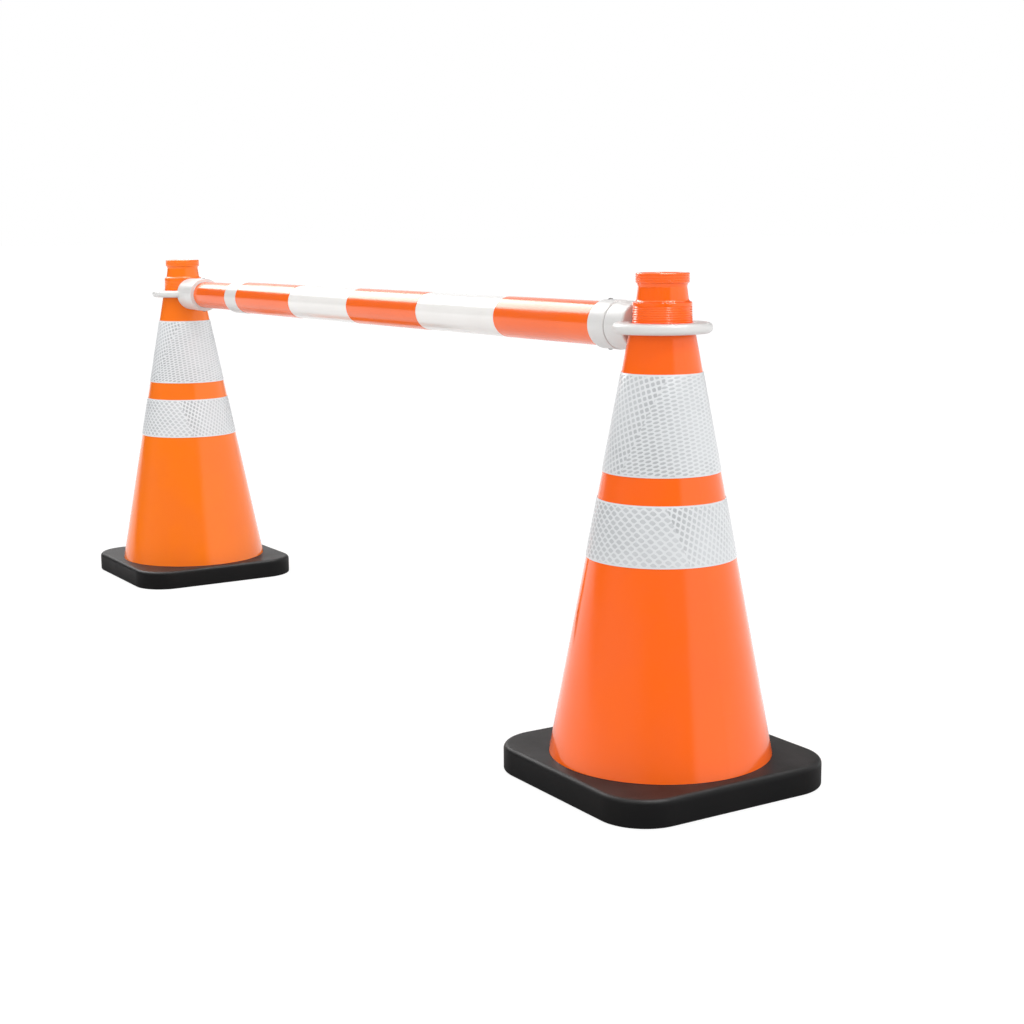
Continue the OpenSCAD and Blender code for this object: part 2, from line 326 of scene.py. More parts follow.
@dataclass(frozen=True)
class Finish:
    """Skin of a moulded, drawn, film-covered, reflective or steel piece.

    Attributes:
        name: material's name
        colour: colour of most of the skin, or of the darkest cells
        mottle: colour that it clouds towards, or of the lightest cells
        rough: roughness of its glossiest and of its dullest spots
        relief: height of the grain or of a cell's prisms, in metres
        fineness: grains or prisms per metre
        clouds: colour clouds per metre
        stretch: how much the grain is drawn out along each axis; under one is longer
        toned: how much of the colour a cell's own tone, random tone and painted sheen together, settles; the
            clouds settle the rest
        marks: strength of the handling marks
        mark_colour: colour inside a mark
        mark_spacing: distance of the marks, in metres
        dust_and_sheen: share of dust on faces that look up, which on the base is also painted sheen
        dust_and_sheen_colour: colour of that dust and painted sheen
        dust_and_sheen_patches: patches of it per metre
        specular: strength of the plain gloss
        metal: one for bare metal
    """

    name: str
    colour: Colour
    mottle: Colour
    rough: Band
    relief: float
    fineness: float = 900.0
    clouds: float = 9.0
    stretch: Way = EVEN
    toned: float = 0.0
    marks: float = 0.0
    mark_colour: Colour = (0.6, 0.6, 0.6)
    mark_spacing: float = 0.02
    dust_and_sheen: float = 0.0
    dust_and_sheen_colour: Colour = (0.25, 0.24, 0.22)
    dust_and_sheen_patches: float = 26.0
    specular: float = 0.5
    metal: float = 0.0

    @cache
    def material(self) -> Material:
        """Builds the finish once.

        Returns:
            The finish as a material.
        """
        material = bpy.data.materials.new(self.name)
        material.use_nodes = True
        graph = Graph(material.node_tree)
        shader = next(node for node in graph.tree.nodes if node.type == "BSDF_PRINCIPLED").inputs
        grain = graph.group(surface_grain(), Stretch=self.stretch, Fineness=self.fineness, Clouds=self.clouds,
                            Smooth=self.rough[0], Dull=self.rough[1])
        share = grain["Mottle"]
        if self.toned:
            # A cell's tone holds its random tone and its painted sheen together.
            tone = graph.add("ShaderNodeAttribute", attribute_name=CellWeave.TONE_AND_SHEEN).outputs["Fac"]
            own = graph.math("MULTIPLY", tone, self.toned)
            share = graph.math("MULTIPLY_ADD", share, 1.0 - self.toned, own)
        colour = graph.mix(share, self.colour, self.mottle)
        if self.marks:
            rubbed = graph.group(handling_marks(), Amount=self.marks, Spacing=self.mark_spacing)["Mask"]
            colour = graph.mix(rubbed, colour, self.mark_colour)
        # Dust on faces that look up; on the base it is partly painted sheen and a painted edge highlight.
        if self.dust_and_sheen:
            dust_and_sheen_mask = graph.group(settled_dust_and_sheen(), Amount=self.dust_and_sheen, Patches=self.dust_and_sheen_patches)["Mask"]
            colour = graph.mix(dust_and_sheen_mask, colour, self.dust_and_sheen_colour)
        graph.feed(shader["Base Color"], colour)
        graph.feed(shader["Roughness"], grain["Roughness"])
        shader["Specular IOR Level"].default_value = self.specular
        shader["Metallic"].default_value = self.metal
        if self.relief:
            bump = graph.out("ShaderNodeBump", {"Height": grain["Height"], "Distance": self.relief})
            graph.feed(shader["Normal"], bump)
        return material


NEAR_ORANGE = Finish(
    "near_cone_orange", (0.99, 0.133, 0.003), (0.97, 0.125, 0.003), rough=(0.12, 0.18), relief=0.012 * MM,
    fineness=260.0, marks=0.10, mark_colour=(0.98, 0.24, 0.06))
# Painted light: the far cone's orange is a yellower copy of the near cone's, standing in for the stronger light
# on that cone.
FAR_PAINTED_LIGHT_ORANGE = Finish(
    "far_cone_orange_painted_light", (0.96, 0.186, 0.003), (0.94, 0.174, 0.003), rough=(0.12, 0.18), relief=0.012 * MM,
    fineness=260.0, marks=0.10, mark_colour=(0.98, 0.26, 0.06))
# The base's pale dust is partly painted sheen: it lightens the top face and paints a highlight on the rounded
# top edge.
BASE_RUBBER = Finish(
    "base_rubber_black", (0.0065, 0.0065, 0.007), (0.009, 0.0085, 0.0085), rough=(0.38, 0.48),
    relief=0.05 * MM, fineness=700.0, marks=0.15, mark_colour=(0.03, 0.03, 0.03), dust_and_sheen=0.14,
    dust_and_sheen_colour=(0.12, 0.117, 0.115), specular=0.14)
# The tube's white is a little warm: painted orange bounce light from the cones.
TUBE_WHITE = Finish(
    "tube_gloss_white", (0.86, 0.842, 0.82), (0.835, 0.815, 0.79), rough=(0.12, 0.20), relief=0.010 * MM,
    fineness=500.0, stretch=(0.02, 1.0, 1.0), marks=0.12, mark_colour=(0.62, 0.60, 0.57))
STRIPE_ORANGE = Finish(
    "stripe_film_orange", (0.96, 0.137, 0.003), (0.93, 0.128, 0.003), rough=(0.17, 0.24), relief=0.008 * MM,
    fineness=420.0, marks=0.08, mark_colour=(0.97, 0.25, 0.07))
END_PLASTIC = Finish(
    "end_plastic_white", (0.70, 0.693, 0.682), (0.665, 0.658, 0.646), rough=(0.28, 0.40), relief=0.02 * MM,
    fineness=800.0, marks=0.20, mark_colour=(0.52, 0.51, 0.49), dust_and_sheen=0.06)
SEAL_RUBBER = Finish(
    "seal_rubber_grey", (0.045, 0.045, 0.047), (0.06, 0.06, 0.06), rough=(0.5, 0.66), relief=0.03 * MM)
BUSH_PLASTIC = Finish(
    "bush_plastic_natural", (0.55, 0.54, 0.50), (0.50, 0.49, 0.45), rough=(0.34, 0.46), relief=0.02 * MM)
SCREW_STEEL = Finish(
    "screw_dark_steel", (0.15, 0.146, 0.142), (0.075, 0.073, 0.07), rough=(0.28, 0.46), relief=0.0,
    fineness=2600.0, clouds=320.0, metal=1.0)
NEAR_FILM = Finish(
    "near_film_pale", (0.68, 0.698, 0.71), (0.73, 0.748, 0.76), rough=(0.26, 0.36), relief=0.02 * MM,
    fineness=1200.0, clouds=16.0, toned=0.8)
NEAR_CELLS = Finish(
    "near_cells_grey", (0.43, 0.443, 0.458), (0.60, 0.617, 0.632), rough=(0.24, 0.36), relief=0.02 * MM,
    fineness=1500.0, clouds=16.0, toned=0.8)
# Painted light: the far sleeves' film is a paler copy of the near film, standing in for the stronger light on
# that cone.
FAR_PAINTED_LIGHT_FILM = Finish(
    "far_film_painted_light", (0.745, 0.762, 0.775), (0.785, 0.802, 0.815), rough=(0.26, 0.36), relief=0.02 * MM,
    fineness=1200.0, clouds=16.0, toned=0.8)
FAR_CELLS = Finish(
    "far_cells_grey", (0.38, 0.392, 0.405), (0.60, 0.617, 0.632), rough=(0.24, 0.36), relief=0.02 * MM,
    fineness=1500.0, clouds=16.0, toned=0.8)


def dress(finish: Finish, *nodes: str) -> None:
    """Gives a finish to pieces of the model.

    Args:
        finish: finish that they get
        *nodes: names of the model's nodes
    """
    for node in nodes:
        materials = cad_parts[node].data.materials
        for number in range(len(materials)):
            materials[number] = finish.material()
        if not materials:
            materials.append(finish.material())
        LOG.info("dressed %s in %s", node, finish.name)


def own_mesh(name: str, bm: bmesh.types.BMesh) -> bpy.types.Mesh:
    """Ends the making of a mesh.

    Args:
        name: mesh's name
        bm: mesh in the making, which is freed

    Returns:
        The finished mesh.
    """
    mesh = bpy.data.meshes.new(name)
    bm.to_mesh(mesh)
    bm.free()
    return mesh


def lathe(name: str, profile: Sequence[Flat], segments: int, centre: Vector, ring: bool) -> bpy.types.Mesh:
    """Turns a profile round an upright axis.

    Args:
        name: mesh's name
        profile: radius and height of each point, in metres
        segments: faces round the axis
        centre: foot of the axis
        ring: True closes the profile on itself; False lets its two ends, at radius zero, be poles

    Returns:
        A closed mesh whose faces point outwards.
    """
    bm = bmesh.new()
    rows = []
    for radius, height in profile:
        steps = segments if radius > 0 else 1
        turns = [math.tau * step / segments for step in range(steps)]
        rows.append([bm.verts.new(centre + Vector((radius * math.cos(t), radius * math.sin(t), height)))
                     for t in turns])
    pairs = list(zip(rows, rows[1:] + rows[:1] if ring else rows[1:]))
    for low, high in pairs:
        for step in range(segments):
            corners = [row[spot % len(row)] for row, spot in
                       ((low, step), (low, step + 1), (high, step + 1), (high, step))]
            bm.faces.new(list(dict.fromkeys(corners)))
    bmesh.ops.recalc_face_normals(bm, faces=bm.faces)
    return own_mesh(name, bm)


def new_object(name: str, data: bpy.types.ID) -> Piece:
    """Puts an object at the origin of the scene.

    Args:
        name: object's name
        data: its mesh, lamp or camera

    Returns:
        The new object.
    """
    piece = bpy.data.objects.new(name, data)
    bpy.context.scene.collection.objects.link(piece)
    return piece


def add_tree(piece: Piece, tree: Tree, values: dict[str, Any]) -> None:
    """Adds a Geometry Nodes modifier to a piece.

    Args:
        piece: object that gets it
        tree: geometry tree
        values: what its inputs get, by name
    """
    modifier = piece.modifiers.new(tree.name, "NODES")
    modifier.node_group = tree
    labels = {item.name: item.identifier for item in tree.interface.items_tree if item.in_out == "INPUT"}
    for name, value in values.items():
        modifier[labels[name]] = value


def make_plain(piece: Piece, sharp: float) -> None:
    """Turns what a piece's modifiers give into its own mesh.

    Args:
        piece: object with modifiers
        sharp: angle past which an edge stays sharp, in degrees
    """
    depsgraph = bpy.context.evaluated_depsgraph_get()
    mesh = bpy.data.meshes.new_from_object(piece.evaluated_get(depsgraph), preserve_all_data_layers=True,
                                           depsgraph=depsgraph)
    mesh.name = piece.name
    piece.modifiers.clear()
    piece.data = mesh
    mesh.shade_smooth()
    mesh.set_sharp_from_angle(angle=math.radians(sharp))


@dataclass(frozen=True)
class CellWeave:
    """One lay of prism cells on the flat sheet that a sleeve is rolled from, in millimetres right and up.

    The tone attribute of the mesh holds a cell's tone: its random tone and its painted sheen. KEPT is how far
    past its lay's edge a cell's middle may lie, as a share of the distance between rows.

    Attributes:
        shape: how square its cells are
        step_a: from one cell to the next along a row
        step_b: from one row to the next
        tip: from a cell's middle to its right corner
        crown: from a cell's middle to its top corner
        origin: middle of one cell, seen from the middle of the half sheet
        painted_sheen: painted sheen, how much paler the cells get per metre to the right and upwards
        painted_sheen_middle: tone of the painted sheen at the middle of the half sheet; tones are held between
            zero and one
    """

    TONE_AND_SHEEN = "cell_tone_and_sheen"
    KEPT = 0.3

    shape: CellShape
    step_a: Flat
    step_b: Flat
    tip: Flat
    crown: Flat
    origin: Flat
    painted_sheen: Flat
    painted_sheen_middle: float

    def inputs(self, far: float) -> dict[str, Any]:
        """Works out what the lay sets in the tree of cells.

        Args:
            far: greatest distance of a cell from the middle of the half sheet

        Returns:
            Values of the tree's inputs, by name.
        """
        flat = {"Step A": self.step_a, "Step B": self.step_b, "Tip": self.tip, "Crown": self.crown,
                "Origin": self.origin}
        laid = {name: (right * MM, up * MM, 0.0) for name, (right, up) in flat.items()}
        step_a, step_b = laid["Step A"], laid["Step B"]
        area = abs(step_a[0] * step_b[1] - step_a[1] * step_b[0])
        longer = max(math.hypot(*step_a), math.hypot(*step_b))
        return laid | {
            "Across": 2 * math.ceil(far * longer / area) + 1, "Squareness": self.shape.value,
            "Reach": self.KEPT * area / longer, "Painted Sheen": (*self.painted_sheen, self.painted_sheen_middle)}


# Pads of the sheet: corners, share of the foot that the top keeps, share of the height that is merged.
PAD_CORNERS = 12
PAD_TOP = 0.94
PAD_MERGE = 0.1
# Tones of the pads: clouds per metre, their detail, share of chance and of clouds, share of the painted sheen.
TONE_CLOUDS = 24.0
TONE_DETAIL = 1.0
TONE_WANDER = 0.12
TONE_PAINTED_SHEEN = 0.76


@cache
def cell_lattice() -> Tree:
    """Builds the tree that adds one lay of prism cells to a tapered sleeve.

    The pads are set out on the flat sheet. The sheet is then cut at the lay's seams and at the sleeve's
    border, and rolled round the cone.

    Returns:
        Geometry tree with named inputs; a seam is given by its place at the sheet's middle and its lean.
    """
    vectors = ("Step A", "Step B", "Tip", "Crown", "Origin", "Left Seam", "Right Seam", "Axis", "Painted Sheen")
    floats = ("Squareness", "Half Height", "Reach", "Facing", "Slant", "Sine", "Mid Level", "Lift", "Sink")
    graph, takes, gives = group_graph(
        "prism_cells", "GeometryNodeTree",
        {"Geometry": "Geometry", "Across": "Int", "Seed": "Int", "Material": "Material",
         **dict.fromkeys(vectors, "Vector"), **dict.fromkeys(floats, "Float")},
        {"Geometry": "Geometry"},
    )

    def place() -> Socket:
        """Returns the place of the point in hand."""
        return graph.out("GeometryNodeInputPosition")

    def seam(name: str, up: Any) -> Socket:
        """Returns how far right a seam lies at a height on the sheet."""
        start, lean, _ = graph.parts(takes[name])
        return graph.math("MULTIPLY_ADD", lean, up, start)

    def from_apex(along: Any, up: Any) -> tuple[Socket, Socket]:
        """Returns how far below the cone's apex a spot of the sheet lies, and its distance from the apex."""
        below = graph.math("SUBTRACT", takes["Slant"], up)
        return below, graph.measure("LENGTH", graph.out("ShaderNodeCombineXYZ", {"X": along, "Y": below}))

    number = graph.out("GeometryNodeInputIndex")
    half = graph.math("FLOOR", graph.math("MULTIPLY", takes["Across"], 0.5))
    column = graph.math("SUBTRACT", graph.math("MODULO", number, takes["Across"]), half)
    row = graph.math("SUBTRACT", graph.math("FLOOR", graph.math("DIVIDE", number, takes["Across"])), half)
    row_start = graph.vector("MULTIPLY", takes["Step B"], row)
    lattice = graph.vector("MULTIPLY_ADD", takes["Step A"], column, row_start)
    points = graph.out("GeometryNodePoints", {
        "Count": graph.math("MULTIPLY", takes["Across"], takes["Across"]),
        "Position": graph.vector("ADD", lattice, takes["Origin"])})
    along, up, _ = graph.parts(place())
    past_left = graph.math("SUBTRACT", seam("Left Seam", up), along)
    past_right = graph.math("SUBTRACT", along, seam("Right Seam", up))
    _, slant = from_apex(along, up)
    past_edge = graph.math("SUBTRACT", graph.math("ABSOLUTE", graph.math("SUBTRACT", slant, takes["Slant"])),
                           takes["Half Height"])
    outside = graph.math("MAXIMUM", past_edge, graph.math("MAXIMUM", past_left, past_right))
    kept = graph.out("GeometryNodeDeleteGeometry", {
        "Geometry": points, "Selection": graph.math("GREATER_THAN", outside, takes["Reach"])})

    def squared(value: Any) -> Socket:
        """Returns a circle's coordinate pulled towards a diamond's."""
        size = graph.math("POWER", graph.math("ABSOLUTE", value), takes["Squareness"])
        return graph.math("MULTIPLY", size, graph.math("SIGN", value))

    disc = graph.out("GeometryNodeMeshCircle", {"Vertices": PAD_CORNERS, "Radius": 1.0}, fill_type="NGON")
    right, top, _ = graph.parts(place())
    upwards = graph.vector("MULTIPLY", takes["Crown"], squared(top))
    corner = graph.vector("MULTIPLY_ADD", takes["Tip"], squared(right), upwards)
    sheet = graph.out("GeometryNodeSetPosition", {"Geometry": disc, "Position": corner})
    raised = graph.add("GeometryNodeExtrudeMesh", {
        "Mesh": sheet, "Offset": UP, "Offset Scale": takes["Lift"]}, mode="FACES")
    sloped = graph.out("GeometryNodeScaleElements", {
        "Geometry": raised.outputs["Mesh"], "Selection": raised.outputs["Top"], "Scale": PAD_TOP})
    foot = graph.out("GeometryNodeFlipFaces", {"Mesh": sheet})
    close = graph.math("MULTIPLY", takes["Lift"], PAD_MERGE)
    pad = graph.out("GeometryNodeMergeByDistance", {"Geometry": graph.join(foot, sloped), "Distance": close})

    laid = graph.out("GeometryNodeInstanceOnPoints", {"Points": kept, "Instance": pad})
    chance = graph.add("FunctionNodeRandomValue", {"Seed": takes["Seed"]}, data_type="FLOAT").outputs[1]
    slow = graph.ramp(graph.noise(place(), TONE_CLOUDS, TONE_DETAIL), CLOUD_BAND)
    # Painted sheen: cells paler to one side and upwards, for prisms that turn towards the light. The pad's
    # place with a one as its height, so that the product adds the sheen's tone at the sheet's middle.
    middle = graph.vector("MULTIPLY_ADD", place(), (1.0, 1.0, 0.0), UP)
    painted_sheen = graph.out("ShaderNodeClamp", {"Value": graph.measure("DOT_PRODUCT", middle, takes["Painted Sheen"])})
    wander = graph.math("MULTIPLY_ADD", chance, TONE_WANDER, graph.math("MULTIPLY", slow, TONE_WANDER))
    toned = graph.out("GeometryNodeStoreNamedAttribute", {
        "Geometry": laid, "Name": CellWeave.TONE_AND_SHEEN,
        "Value": graph.math("MULTIPLY_ADD", painted_sheen, TONE_PAINTED_SHEEN, wander)},
        data_type="FLOAT", domain="INSTANCE")
    real = graph.out("GeometryNodeRealizeInstances", {"Geometry": toned})

    def held(value: Any, least: Socket, most: Socket) -> Socket:
        """Returns a length held between two limits."""
        return graph.out("ShaderNodeClamp", {"Value": value, "Min": least, "Max": most})

    along, up, height = graph.parts(place())
    cut = held(along, seam("Left Seam", up), seam("Right Seam", up))
    below, slant = from_apex(cut, up)
    cut_slant = held(slant, graph.math("SUBTRACT", takes["Slant"], takes["Half Height"]),
                     graph.math("ADD", takes["Slant"], takes["Half Height"]))
    angle = graph.math("ADD", takes["Facing"], graph.math(
        "DIVIDE", graph.math("ARCTAN2", cut, below), takes["Sine"]))
    proud = graph.math("SUBTRACT", height, takes["Sink"])
    radius = graph.math("MULTIPLY_ADD", cut_slant, takes["Sine"], proud)
    cosine = graph.math("COSINE", graph.math("ARCSINE", takes["Sine"]))
    rolled = graph.out("ShaderNodeCombineXYZ", {
        "X": graph.math("MULTIPLY", radius, graph.math("COSINE", angle)),
        "Y": graph.math("MULTIPLY", radius, graph.math("SINE", angle)),
        "Z": graph.math("MULTIPLY_ADD", graph.math("SUBTRACT", takes["Slant"], cut_slant), cosine,
                        takes["Mid Level"])})
    wrapped = graph.out("GeometryNodeSetPosition", {
        "Geometry": real, "Position": graph.vector("ADD", rolled, takes["Axis"])})
    neat = graph.out("GeometryNodeMergeByDistance", {"Geometry": wrapped, "Distance": close})
    coloured = graph.out("GeometryNodeSetMaterial", {"Geometry": neat, "Material": takes["Material"]})
    graph.feed(gives["Geometry"], graph.join(coloured, takes["Geometry"]))
    return graph.tree


class SleeveSize(NamedTuple):
    """Taper of a sleeve, read from the model.

    Attributes:
        axis: foot of the cone's axis
        foot: level of the sleeve's lower edge
        top: level of its upper edge
        foot_r: outer radius at the lower edge
        top_r: outer radius at the upper edge
        wall: thickness of its wall
    """

    axis: Vector
    foot: float
    top: float
    foot_r: float
    top_r: float
    wall: float

    @classmethod
    def read(cls, node: str) -> "SleeveSize":
        """Measures a sleeve's node.

        Args:
            node: name of the node

        Returns:
            Its sizes.
        """
        low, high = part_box(node)
        axis = Vector(((low[0] + high[0]) / 2, (low[1] + high[1]) / 2, 0.0))
        close = 1e-6
        spots = [vertex.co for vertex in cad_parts[node].data.vertices]
        at_foot = [(spot - axis).xy.length for spot in spots if spot.z < low[2] + close]
        at_top = [(spot - axis).xy.length for spot in spots if spot.z > high[2] - close]
        return cls(axis, low[2], high[2], max(at_foot), max(at_top), max(at_foot) - min(at_foot))


@dataclass
class Sleeve:
    """One reflective sleeve, rolled from two half sheets with two lays of cells each.

    Attributes:
        part: end of its node's name
        weaves: lays of a half sheet, from left to right
        seam: place of the seam between them at the half sheet's middle, and its lean
        seed: start of the random cell tones
        facing: world azimuth of the first half sheet's middle, in degrees
        segments: faces of the film round the cone
        lift: height of a cell over the film
        sink: depth of a cell's foot in the film
        border: plain film above and below the cells
        edge: chamfer of the film's edges
        sharp: angle past which an edge of a cell stays sharp, in degrees
    """

    part: str
    weaves: tuple[CellWeave, CellWeave]
    seam: Flat
    seed: int
    facing: float = -37.0
    segments: int = 192
    lift: float = 0.12 * MM
    sink: float = 0.04 * MM
    border: float = 2.5 * MM
    edge: float = 0.15 * MM
    sharp: float = 35.0

    def build(self, side: Side, film: Finish, cells: Finish) -> Piece:
        """Builds the sleeve and puts it in place of its node.

        Args:
            side: cone that wears it
            film: finish of the sheet
            cells: finish of its cells

        Returns:
            The finished piece.
        """
        node = f"{side.value}_{self.part}"
        size = SleeveSize.read(node)
        foot_r, top_r = size.foot_r - self.lift, size.top_r - self.lift
        inner = self.lift - size.wall
        profile = [
            (foot_r + inner, size.foot), (foot_r - self.edge, size.foot), (foot_r, size.foot + self.edge),
            (top_r, size.top - self.edge), (top_r - self.edge, size.top), (top_r + inner, size.top)]
        piece = new_object(f"{node}_sheet", lathe(node, profile, self.segments, size.axis, ring=True))
        piece.data.materials.append(film.material())
        slope = math.hypot(size.top - size.foot, foot_r - top_r)
        sine = (foot_r - top_r) / slope
        slant = (foot_r + top_r) / 2 / sine
        end = math.tan(math.pi / 2 * sine)
        seams = [(*seam, 0.0) for seam in ((-end * slant, end), self.seam, (end * slant, -end))]
        shared = {
            "Axis": tuple(size.axis), "Half Height": slope / 2 - self.border, "Slant": slant, "Sine": sine,
            "Mid Level": (size.foot + size.top) / 2, "Lift": self.lift + self.sink, "Sink": self.sink,
            "Material": cells.material()}
        far = math.hypot(math.pi / 2 * foot_r, slope)
        lays = [weave.inputs(far) | {"Left Seam": left, "Right Seam": right, "Facing": math.radians(facing)}
                for facing in (self.facing, self.facing + 180.0)
                for weave, left, right in zip(self.weaves, seams, seams[1:])]
        for number, lay in enumerate(lays):
            add_tree(piece, cell_lattice(), shared | lay | {"Seed": self.seed + number})
        make_plain(piece, self.sharp)
        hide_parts(node)
        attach(piece, f"{side.value}_cone")
        return piece


# Each lay's cells get paler to one side and upwards: painted sheen for prisms that turn towards the light.
STEEP_CELLS = CellWeave(
    CellShape.DIAMOND, step_a=(1.7, -7.5), step_b=(-7.4, -2.1), tip=(2.7, -1.6), crown=(1.7, 2.85),
    origin=(-6.1, -4.9), painted_sheen=(-16.0, 9.0), painted_sheen_middle=-0.35)
FLAT_CELLS = CellWeave(
    CellShape.LENS, step_a=(0.93, -5.5), step_b=(9.8, -1.17), tip=(4.3, 1.0), crown=(-0.35, 1.65),
    origin=(3.2, -1.2), painted_sheen=(10.0, 6.0), painted_sheen_middle=0.45)
WIDE_CELLS = CellWeave(
    CellShape.DIAMOND, step_a=(6.0, -7.1), step_b=(-7.1, -5.5), tip=(4.7, -0.5), crown=(-0.3, 3.5),
    origin=(-0.9, -7.0), painted_sheen=(7.0, -4.0), painted_sheen_middle=1.05)
SMALL_CELLS = CellWeave(
    CellShape.DIAMOND, step_a=(7.0, -3.6), step_b=(-1.3, -8.1), tip=(2.5, 1.35), crown=(-1.6, 3.4),
    origin=(3.6, -7.5), painted_sheen=(19.0, -4.0), painted_sheen_middle=-0.3)
UPPER_SLEEVE = Sleeve("upper_sleeve", (STEEP_CELLS, FLAT_CELLS), seam=(-27.5 * MM, 0.52), seed=11)
LOWER_SLEEVE = Sleeve("lower_sleeve", (WIDE_CELLS, SMALL_CELLS), seam=(23.9 * MM, -0.43), seed=31)


@dataclass
class TrafficCone:
    """One cone: orange shell, black base and two reflective sleeves.

    Attributes:
        side: end of the bar that it carries
        orange: finish of its shell
        film: finish of its sleeves' sheet
        cells: finish of the cells on it
    """

    side: Side
    orange: Finish
    film: Finish
    cells: Finish

    def build(self) -> None:
        """Dresses the shell and the base, and builds the sleeves."""
        dress(self.orange, f"{self.side.value}_cone_shell")
        dress(BASE_RUBBER, f"{self.side.value}_cone_base")
        for sleeve in (UPPER_SLEEVE, LOWER_SLEEVE):
            piece = sleeve.build(self.side, self.film, self.cells)
            LOG.info("built %s, %d faces", piece.name, len(piece.data.polygons))


@cache
def screw_pair() -> Tree:
    """Builds the tree that sets one screw above a bar and one below it.

    Returns:
        Geometry tree whose input geometry is a screw that points up from the bar's axis.
    """
    graph, takes, gives = group_graph(
        "screw_pair", "GeometryNodeTree",
        {"Geometry": "Geometry", "Place": "Vector", "Count": "Int", "Material": "Material"},
        {"Geometry": "Geometry"},
    )
    points = graph.out("GeometryNodePoints", {"Count": takes["Count"], "Position": takes["Place"]})
    number = graph.out("GeometryNodeInputIndex")
    step = graph.math("DIVIDE", math.tau, takes["Count"])
    turn = graph.out("ShaderNodeCombineXYZ", {"X": graph.math("MULTIPLY", number, step)})
    laid = graph.out("GeometryNodeInstanceOnPoints", {
        "Points": points, "Instance": takes["Geometry"], "Rotation": turn})
    real = graph.out("GeometryNodeRealizeInstances", {"Geometry": laid})
    coloured = graph.out("GeometryNodeSetMaterial", {"Geometry": real, "Material": takes["Material"]})
    graph.feed(gives["Geometry"], coloured)
    return graph.tree


@dataclass
class EndScrews:
    """The two pan-head screws of an end collar.

    Attributes:
        shank_r: radius of the shank
        head_h: height of the head
        recess_d: depth of the cross recess
        recess_w: width of its wings
        recess_l: length across two wings, as a share of the head
        rim: share of the head's height that is upright
        under: radius of the head's underside, as a share of the head
        taper: radius of the tip, as a share of the shank
        steps: faces up the crown
        segments: faces round the head
        count: screws round the bar
        sharp: angle past which an edge stays sharp, in degrees
    """

    shank_r: float = 2.0 * MM
    head_h: float = 2.2 * MM
    recess_d: float = 1.3 * MM
    recess_w: float = 0.9 * MM
    recess_l: float = 0.62
    rim: float = 0.35
    under: float = 0.97
    taper: float = 0.6
    steps: int = 8
    segments: int = 40
    count: int = 2
    sharp: float = 30.0

    def screw(self, name: str, tip: float, top: float, head_r: float) -> Piece:
        """Turns one screw and sinks its cross recess.

        Args:
            name: object's name
            tip: distance of the screw's tip from the bar's axis
            top: distance of its crown from the bar's axis
            head_r: radius of its head

        Returns:
            A screw that points up from the origin.
        """
        seat = top - self.head_h
        turns = [math.pi / 2 * step / self.steps for step in range(self.steps)]
        dome = 1.0 - self.rim
        crown = [(head_r * math.cos(turn), seat + self.head_h * (self.rim + dome * math.sin(turn)))
                 for turn in turns]
        point = self.shank_r * self.taper
        profile = [(0.0, tip), (point, tip), (self.shank_r, tip + point), (self.shank_r, seat),
                   (head_r * self.under, seat), *crown, (0.0, top)]
        piece = new_object(name, lathe(name, profile, self.segments, Vector(), ring=False))
        bm = bmesh.new()
        reach = head_r * 2 * self.recess_l
        for size in ((reach, self.recess_w), (self.recess_w, reach)):
            wing = bmesh.ops.create_cube(bm, size=1.0)["verts"]
            bmesh.ops.scale(bm, vec=(*size, self.recess_d * 2), verts=wing)
            bmesh.ops.translate(bm, vec=(0.0, 0.0, top), verts=wing)
        cutter = new_object(f"{name}_recess", own_mesh(f"{name}_recess", bm))
        cut = piece.modifiers.new("recess", "BOOLEAN")
        cut.operation, cut.solver, cut.use_self, cut.object = "DIFFERENCE", "EXACT", True, cutter
        make_plain(piece, self.sharp)
        bpy.data.objects.remove(cutter)
        return piece

    def build(self, side: Side, body: str) -> Piece:
        """Builds the pair and puts it in place of its node.

        Args:
            side: end of the bar
            body: body that the screws ride on

        Returns:
            The finished piece.
        """
        node = f"{side.value}_end_screws"
        low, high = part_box(node)
        middle = (Vector(low) + Vector(high)) / 2
        tips = [abs(vertex.co.z - middle.z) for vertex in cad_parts[node].data.vertices]
        piece = self.screw(f"{side.value}_screw_pair", min(tips), high[2] - middle.z, (high[0] - low[0]) / 2)
        add_tree(piece, screw_pair(), {
            "Place": tuple(middle), "Count": self.count, "Material": SCREW_STEEL.material()})
        make_plain(piece, self.sharp)
        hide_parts(node)
        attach(piece, body)
        return piece


@dataclass
class BarEnd:
    """One end of the bar: ring cap, clamp collar and their screws.

    Attributes:
        side: end of the bar
        body: tube that it is fixed to
    """

    side: Side
    body: str

    def build(self) -> None:
        """Dresses the mouldings and builds the screws."""
        dress(END_PLASTIC, f"{self.side.value}_ring_cap", f"{self.side.value}_end_collar")
        piece = EndScrews().build(self.side, self.body)
        LOG.info("built %s, %d faces", piece.name, len(piece.data.polygons))


@dataclass
class TelescopicBar:
    """The two tubes with their stripes, and the pieces at the outer tube's mouth.

    Attributes:
        outer_stripes: stripes on the outer tube
        inner_stripes: stripes on the inner tube
    """

    outer_stripes: int = 3
    inner_stripes: int = 2

    def build(self) -> None:
        """Dresses every piece of the bar but its ends."""
        dress(TUBE_WHITE, "outer_tube", "inner_tube")
        dress(STRIPE_ORANGE, *(f"outer_stripe_{number + 1}" for number in range(self.outer_stripes)))
        dress(STRIPE_ORANGE, *(f"inner_stripe_{number + 1}" for number in range(self.inner_stripes)))
        dress(END_PLASTIC, "mouth_collar")
        dress(SEAL_RUBBER, "friction_ring")
        dress(BUSH_PLASTIC, "stop_bush", "guide_bush")


class LampFace(Enum):
    """Outline of a softbox, by Blender's name."""

    SQUARE = "RECTANGLE"
    ROUND = "ELLIPSE"


